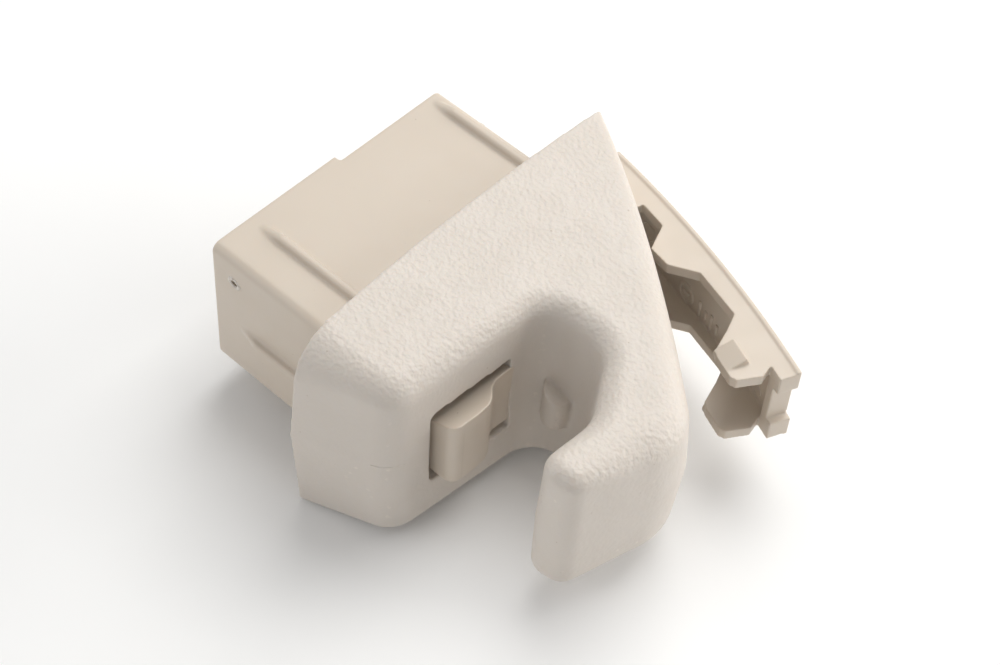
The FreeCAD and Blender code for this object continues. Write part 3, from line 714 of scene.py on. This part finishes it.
@dataclass
class ScrewCover:
    """The cover that swings out from the back of the head."""

    voxel_mm: float = 0.10
    passes: int = 4
    arc_centre: tuple[float, float] = (-91.0 * MM, 57.8 * MM)
    arc_radius: float = 127.0 * MM
    datum: float = math.radians(-28.5)
    web: float = 1.3 * MM
    hinge: tuple[float, float] = (23.3 * MM, 5.45 * MM)
    opened: float = math.radians(18.0)
    bead: float = 0.22 * MM
    fine_bead: float = 0.08 * MM
    bead_flat: float = 0.8
    ring_spokes: int = 40
    stroke_steps: int = 4
    mark_z: float = -1.95 * MM
    ring_along: float = 12.4 * MM
    ring_radius: float = 1.05 * MM
    pointer_half: float = 0.5 * MM
    bars: int = 4
    bars_from: float = 14.7 * MM
    bar_spacing: float = 1.0 * MM
    bar_halves: tuple[float, float] = (1.05 * MM, 0.65 * MM)
    ejectors: tuple[tuple[str, float, float, float], ...] = (
        ("ejector_ring_upper", 5.6 * MM, 0.2 * MM, 1.0 * MM),
        ("ejector_ring_lower", 25.2 * MM, -2.3 * MM, 0.85 * MM))
    flash_along: float = 28.45 * MM
    flash_facing: float = 28.5 * MM
    flash_wave: float = 0.12 * MM
    flash_from_z: float = 2.1 * MM
    flash_run_z: float = 1.9 * MM
    flash_bead: float = 0.07 * MM
    flash_height: float = 1.6
    flash_steps: int = 11
    finish: MouldedPlastic = field(default_factory=lambda: MouldedPlastic("cover_plastic", roughness=0.42))

    def build(self) -> list[bpy.types.Object]:
        """Builds the cover and the marks on its inner face.

        Returns:
            The cover, its mould marks, its ejector rings and its flash.
        """
        material = self.finish.make()
        cover = rounded_moulding("screw_cover", "cover_shell", material, self.voxel_mm, self.passes)
        pieces = [cover, *self._mould_marks(material), *self._ejector_rings(material), self._flash(material)]
        for piece in pieces:
            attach(piece, Body.COVER.value)
        return pieces

    def _inner(self, along: float, z: float) -> Vector:
        """Point on the web's inner face, at rest.

        Args:
            along: Distance along the back's arc from the cover's datum.
            z: Height.

        Returns:
            The point in the row frame.
        """
        polar = self.datum - along / self.arc_radius
        reach = self.arc_radius - self.web
        x = self.arc_centre[0] + reach * math.cos(polar) - self.hinge[0]
        y = self.arc_centre[1] + reach * math.sin(polar) - self.hinge[1]
        turn_cos, turn_sin = math.cos(self.opened), math.sin(self.opened)
        return Vector((self.hinge[0] + x * turn_cos - y * turn_sin,
                       self.hinge[1] + x * turn_sin + y * turn_cos, z))

    def _outward(self, along: float, z: float) -> Vector:
        """Direction from the arc's centre to a point of the inner face."""
        return (self._inner(along, z) - Vector((*self.arc_centre, z))).normalized()

    def _circle(self, name: str, along: float, z: float, radius: float, bead: float,
                material: bpy.types.Material) -> bpy.types.Object:
        """Raised ring on the inner face.

        Args:
            name: Name of the piece.
            along: Its middle along the arc, from the cover's datum.
            z: Height of its middle.
            radius: The ring's radius.
            bead: Radius of its bead.
            material: Its material.

        Returns:
            The ring.
        """
        points = []
        for spoke in range(self.ring_spokes):
            turn = 2 * math.pi * spoke / self.ring_spokes
            points.append(self._inner(along + radius * math.cos(turn), z + radius * math.sin(turn)))
        return tube_along(name, points, bead, True, material, self.bead_flat, self._outward(along, z))

    def _mould_marks(self, material: bpy.types.Material) -> list[bpy.types.Object]:
        """Plain mould marks: a ring with a pointer, and a row of short bars beside it.

        Args:
            material: Material of the cover.

        Returns:
            The ring, the pointer and the bars.
        """
        along, z = self.ring_along, self.mark_z
        marks = [self._circle("mould_ring", along, z, self.ring_radius, self.bead, material)]
        out = self._outward(along, z)
        strokes = [((along - self.pointer_half, z), (along + self.pointer_half, z))]
        for number in range(self.bars):
            place = self.bars_from + self.bar_spacing * number
            half = self.bar_halves[number % 2]
            strokes.append(((place, z - half), (place, z + half)))
        for number, (first, last) in enumerate(strokes):
            points = []
            for step in range(self.stroke_steps + 1):
                share = step / self.stroke_steps
                points.append(self._inner(first[0] + (last[0] - first[0]) * share,
                                          first[1] + (last[1] - first[1]) * share))
            marks.append(tube_along(
                f"mould_bar_{number}", points, self.bead, False, material, self.bead_flat, out))
        return marks

    def _ejector_rings(self, material: bpy.types.Material) -> list[bpy.types.Object]:
        """Faint rings that the ejector pins leave."""
        return [self._circle(name, along, z, radius, self.fine_bead, material)
                for name, along, z, radius in self.ejectors]

    def _flash(self, material: bpy.types.Material) -> bpy.types.Object:
        """Ragged sliver of flash along the end of the web, in the upper notch.

        Args:
            material: Material of the cover.

        Returns:
            The sliver.
        """
        points = []
        for step in range(self.flash_steps + 1):
            share = step / self.flash_steps
            wave = self.flash_wave * noise.noise(Vector((share * 5.0, 0.3, 0.7)))
            points.append(self._inner(self.flash_along + wave, self.flash_from_z - self.flash_run_z * share))
        out = self._outward(self.flash_facing, 0.0)
        return tube_along("cover_flash", points, self.flash_bead, False, material, self.flash_height, out)


@dataclass
class ScrewSet:
    """Pan-head screw with its thread, washer and compression sleeve."""

    pitch: float = 1.35 * MM
    thread_depth: float = 0.42 * MM
    thread_radius: float = 1.95 * MM
    thread_half: float = 0.3
    thread_past_washer: float = 1.0 * MM
    lead_in: float = 0.8 * MM
    point_length: float = 1.9 * MM
    point_radius: float = 0.15 * MM
    head_radius: float = 3.3 * MM
    head_height: float = 2.4 * MM
    dome: float = 1.3 * MM
    dome_steps: int = 8
    spokes: int = 48
    samples: int = 190
    sharp: float = math.radians(35)
    arm_reach: float = 1.5 * MM
    arm_half: float = 0.32 * MM
    recess_depth: float = 1.3 * MM
    recess_mouth: float = 1.12
    recess_foot: float = 0.55
    cutter_past: float = 0.3 * MM
    finish: PlatedSteel = field(default_factory=lambda: PlatedSteel("zinc_plate"))

    def build(self) -> list[bpy.types.Object]:
        """Builds the threaded shank and dresses the turned pieces.

        Returns:
            The screw, the washer and the sleeve.
        """
        material = self.finish.make()
        pieces = [self._screw(material)]
        for node in ("screw_washer", "compression_sleeve"):
            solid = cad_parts[node]
            solid.data.materials.clear()
            solid.data.materials.append(material)
            pieces.append(solid)
        return pieces

    def _screw(self, material: bpy.types.Material) -> bpy.types.Object:
        """Screw with a pan head, a cross recess and a rolled thread.

        Args:
            material: Its material.

        Returns:
            The screw, which replaces its plain node.
        """
        low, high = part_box("mounting_screw")
        axis = Vector(((low.x + high.x) / 2, 0.0, (low.z + high.z) / 2))
        root = self.thread_radius - self.thread_depth
        seat = low.y + self.head_height
        work = bmesh.new()
        rows = []
        for step in range(self.dome_steps + 1):
            turn = math.pi / 2 * step / self.dome_steps
            reach = self.head_radius - self.dome * (1 - math.sin(turn))
            height = low.y + self.dome * (1 - math.cos(turn))
            rows.append(self._ring(work, axis, height, [reach] * self.spokes))
        rows.append(self._ring(work, axis, seat, [self.head_radius] * self.spokes))
        rows.append(self._ring(work, axis, seat, [root] * self.spokes))
        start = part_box("screw_washer")[1].y + self.thread_past_washer
        for step in range(self.samples + 1):
            y = start + (high.y - start) * step / self.samples
            rows.append(self._ring(work, axis, y, self._thread_radii(y, start, high.y)))
        for near, far in zip(rows, rows[1:]):
            for spoke in range(self.spokes):
                nxt = (spoke + 1) % self.spokes
                work.faces.new((near[spoke], near[nxt], far[nxt], far[spoke]))
        work.faces.new(rows[0])
        work.faces.new(list(reversed(rows[-1])))
        screw = new_piece("screw_thread", mesh_from(work, "screw_thread"), material)
        recess = self._recess(Vector((axis.x, low.y, axis.z)))
        cut = screw.modifiers.new("recess", "BOOLEAN")
        cut.operation = "DIFFERENCE"
        cut.object = recess
        settle(screw)
        bpy.data.objects.remove(recess)
        screw.data.set_sharp_from_angle(angle=self.sharp)
        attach(screw, Body.FIXED.value)
        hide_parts("mounting_screw")
        return screw

    def _thread_radii(self, y: float, start: float, tip: float) -> list[float]:
        """Radii of the thread round the screw: narrow crests over a wide root.

        Args:
            y: Height along the axis.
            start: Height where the thread starts.
            tip: Height of the screw's tip.

        Returns:
            One radius for each spoke.
        """
        root = self.thread_radius - self.thread_depth
        taper = min(1.0, max(0.0, (tip - y) / self.point_length))
        lead = min(1.0, (y - start) / self.lead_in)
        radii = []
        for spoke in range(self.spokes):
            phase = (y / self.pitch - spoke / self.spokes) % 1.0
            crest = max(0.0, 1 - abs(phase - 0.5) / self.thread_half)
            core = self.point_radius + (root - self.point_radius) * taper
            radii.append(core + self.thread_depth * crest * lead * taper)
        return radii

    def _ring(self, work: bmesh.types.BMesh, axis: Vector, y: float,
              radii: list[float]) -> list[bmesh.types.BMVert]:
        """One ring of vertices at a height along the axis.

        Args:
            work: Mesh that takes the ring.
            axis: A point on the axis.
            y: Height along it.
            radii: One radius for each spoke.

        Returns:
            The ring's vertices.
        """
        ring = []
        for spoke, radius in enumerate(radii):
            turn = 2 * math.pi * spoke / self.spokes
            ring.append(work.verts.new(
                (axis.x + radius * math.cos(turn), y, axis.z + radius * math.sin(turn))))
        return ring

    def _recess(self, face: Vector) -> bpy.types.Object:
        """Tapered cross that is cut into the head.

        Args:
            face: Middle of the head's face.

        Returns:
            The cutter.
        """
        corners = ((self.arm_reach, -self.arm_half), (self.arm_reach, self.arm_half),
                   (self.arm_half, self.arm_half))
        outline = []
        for quarter in range(4):
            turn = Matrix.Rotation(math.pi / 2 * quarter, 3, "Y")
            outline += [turn @ Vector((x, 0, -z)) for x, z in corners]
        past = Vector((0, -self.cutter_past, 0))
        foot = Vector((0, self.recess_depth, 0))
        work = bmesh.new()
        top = [work.verts.new(face + v * self.recess_mouth + past) for v in outline]
        base = [work.verts.new(face + v * self.recess_foot + foot) for v in outline]
        for number in range(len(outline)):
            nxt = (number + 1) % len(outline)
            work.faces.new((top[number], top[nxt], base[nxt], base[number]))
        work.faces.new(top)
        work.faces.new(list(reversed(base)))
        cross = bpy.data.objects.new("cross_cutter", mesh_from(work, "cross_cutter"))
        bpy.context.scene.collection.objects.link(cross)
        return cross


# ------------------------------------------------------------------ studio


@dataclass(frozen=True)
class Lamp:
    """Soft square light that looks at the object; metres and watts."""

    name: str
    place: tuple[float, float, float]
    size: float
    power: float
    colour: tuple[float, float, float]


@dataclass
class Studio:
    """Pale floor, soft lights and the camera."""

    camera_place: tuple[float, float, float] = (-0.098757, -0.088034, 0.160419)
    elevation: float = math.radians(51.15)
    azimuth: float = math.radians(-50.90)
    roll: float = math.radians(4.71)
    lens: float = 79.32
    sensor: float = 36.0
    clip: tuple[float, float] = (0.005, 10.0)
    floor_half: float = 1.2
    floor_tones: tuple[tuple[float, ...], tuple[float, ...]] = (
        (0.93, 0.93, 0.925, 1.0), (0.95, 0.95, 0.945, 1.0))
    world_strength: float = 0.42
    lamps: tuple[Lamp, ...] = (
        Lamp("key", (0.20, 0.03, 0.38), 0.34, 1.34, (1.0, 0.993, 0.975)),
        Lamp("fill_left", (-0.36, 0.24, 0.16), 0.34, 0.36, (0.99, 0.99, 1.0)),
        Lamp("rim_right", (0.30, -0.24, 0.12), 0.24, 0.72, (1.0, 0.98, 0.96)))

    def build(self) -> None:
        """Sets up the camera, the floor, the lights and the world."""
        self._camera()
        self._floor()
        self._world()
        for lamp in self.lamps:
            self._light(lamp)

    def _camera(self) -> None:
        """Camera at the measured place, turned by elevation, azimuth and roll."""
        a, e = self.azimuth, self.elevation
        back = Vector((math.sin(a) * math.cos(e), -math.cos(a) * math.cos(e), math.sin(e)))
        across = Vector((0, 0, 1)).cross(back).normalized()
        up = back.cross(across)
        turn = Matrix((across, up, back)).transposed() @ Matrix.Rotation(self.roll, 3, "Z")
        data = bpy.data.cameras.new("camera")
        data.lens = self.lens
        data.sensor_width = self.sensor
        data.clip_start, data.clip_end = self.clip
        camera = bpy.data.objects.new("camera", data)
        camera.matrix_world = Matrix.Translation(Vector(self.camera_place)) @ turn.to_4x4()
        bpy.context.scene.collection.objects.link(camera)
        bpy.context.scene.camera = camera

    def _floor(self) -> None:
        """Plain pale floor under the lowest point."""
        level = CAD_BOX[0][2]
        half = self.floor_half
        work = bmesh.new()
        outline = ((-half, -half), (half, -half), (half, half), (-half, half))
        work.faces.new([work.verts.new((x, y, level)) for x, y in outline])
        sheet = NodeSheet("paper_floor")
        sheet.shader.inputs["Roughness"].default_value = 0.9
        tone = sheet.remap(sheet.cloud(30.0, 2.0), 0.3, 0.7)
        sheet.feed(sheet.shader, "Base Color", sheet.mix(tone, *self.floor_tones))
        new_piece("floor", mesh_from(work, "floor"), sheet.material)

    def _world(self) -> None:
        """Even pale surroundings."""
        world = bpy.data.worlds.new("surroundings")
        world.use_nodes = True
        background = world.node_tree.nodes["Background"]
        background.inputs["Color"].default_value = (1.0, 1.0, 1.0, 1.0)
        background.inputs["Strength"].default_value = self.world_strength
        bpy.context.scene.world = world

    def _light(self, lamp: Lamp) -> None:
        """Adds one lamp, turned to the object.

        Args:
            lamp: Its place, size, power and colour.
        """
        data = bpy.data.lights.new(lamp.name, "AREA")
        data.size = lamp.size
        data.energy = lamp.power
        data.color = lamp.colour
        light = bpy.data.objects.new(lamp.name, data)
        light.location = lamp.place
        light.rotation_euler = (-Vector(lamp.place)).to_track_quat("-Z", "Y").to_euler()
        bpy.context.scene.collection.objects.link(light)


def main() -> None:
    """Builds every sub-assembly in order and reports its pieces."""
    logging.basicConfig(level=logging.INFO, format="%(name)s: %(message)s")
    bpy.context.scene.view_settings.view_transform = "Standard"
    Studio().build()
    for assembly in (HookHead(), SpringTongue(), Stem(), ScrewCover(), ScrewSet()):
        for piece in assembly.build():
            LOG.info("%s: %s, %d faces", type(assembly).__name__, piece.name, len(piece.data.polygons))


if __name__ == "__main__":
    main()
